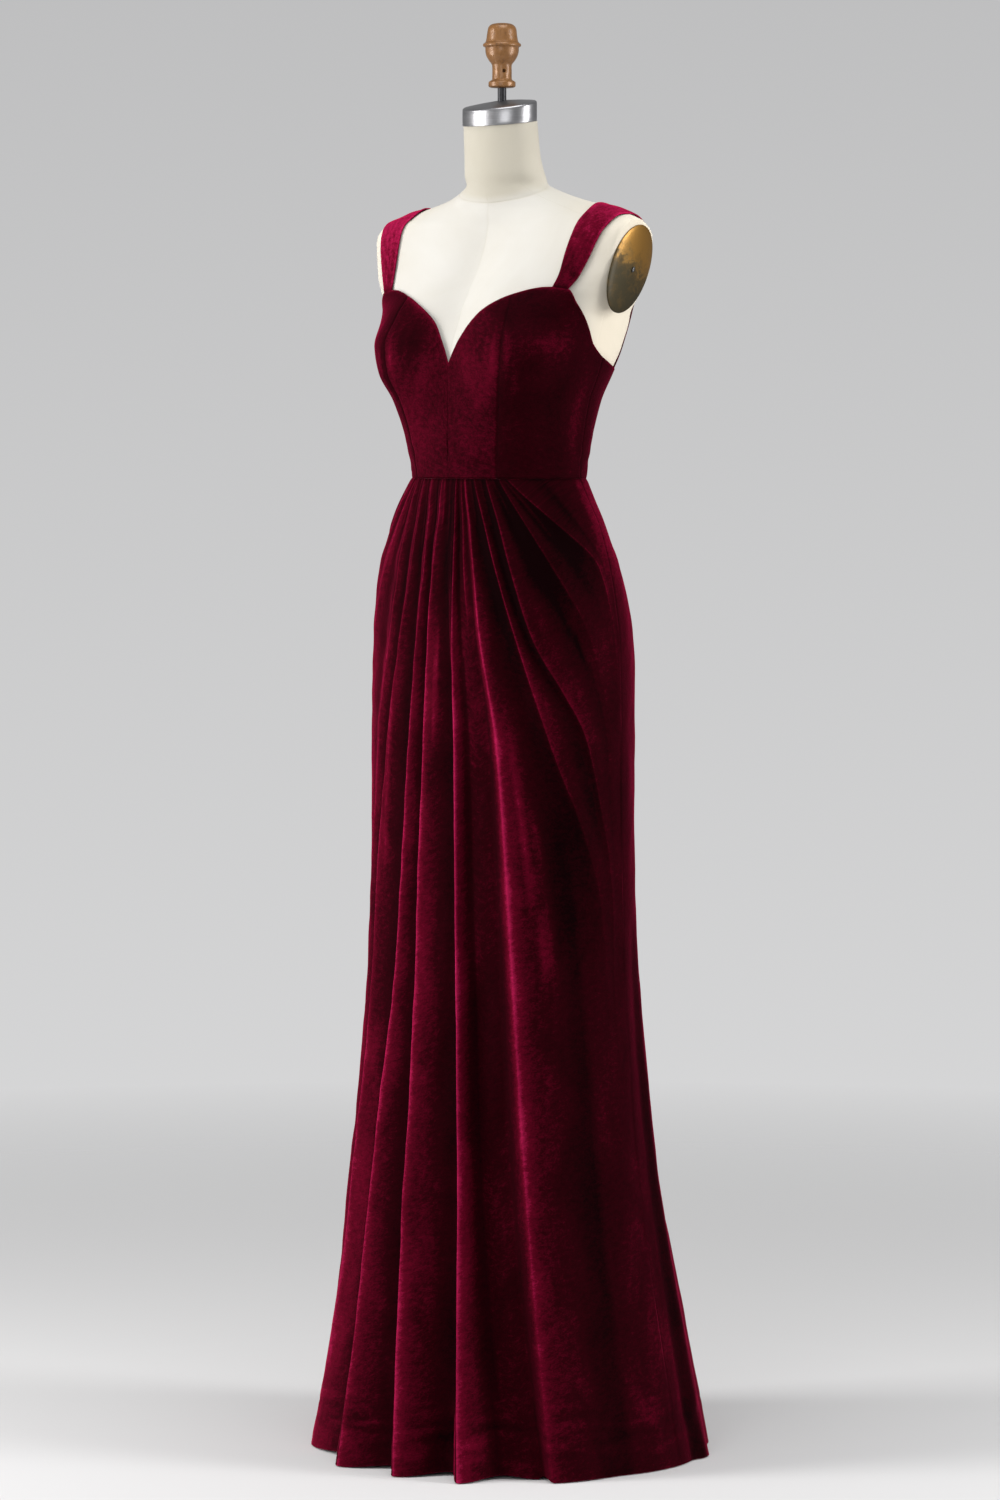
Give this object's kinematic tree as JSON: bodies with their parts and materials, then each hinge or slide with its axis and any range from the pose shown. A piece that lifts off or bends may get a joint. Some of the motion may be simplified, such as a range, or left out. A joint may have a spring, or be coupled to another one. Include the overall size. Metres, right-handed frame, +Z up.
{
  "type": "mermaid dress on a dress form",
  "caption": "Floor-length velvet mermaid dress with a sweetheart neckline, wide straps and a gathered front, on a limbless dress form with a neck cap and a round foot.",
  "frame": {"origin": "centre of the stand foot's underside, on the floor", "axes": "+Z up; the dress faces -Y; the wearer's left is +X"},
  "size_m": [0.502, 0.4894, 1.7571],
  "materials": {
    "velvet": "burgundy velvet, short pile with a strong sheen",
    "form_cover": "plain cream linen stretched over the form",
    "polished_steel": "bright brushed steel",
    "dark_steel": "dark satin",
    "turned_wood": "varnished turned wood",
    "aged_brass": "aged, with a dark patina"
  },
  "bodies": {
    "root": {"bodice_centre_front_left": "velvet", "bodice_centre_front_right": "velvet", "bodice_side_front_left": "velvet", "bodice_side_front_right": "velvet", "bodice_side_back_left": "velvet", "bodice_side_back_right": "velvet", "bodice_centre_back_left": "velvet", "bodice_centre_back_right": "velvet", "strap_left": "velvet", "strap_right": "velvet", "skirt_front": "velvet", "skirt_back_left": "velvet", "skirt_back_right": "velvet", "form_torso": "form_cover", "neck_cap": "polished_steel", "neck_rod": "dark_steel", "finial": "turned_wood", "arm_plate_left": "aged_brass", "arm_plate_right": "aged_brass", "plate_screw_left": "polished_steel", "plate_screw_right": "polished_steel", "stand_pole": "dark_steel", "stand_foot": "dark_steel", "stand_collar": "dark_steel"}
  },
  "joints": []
}
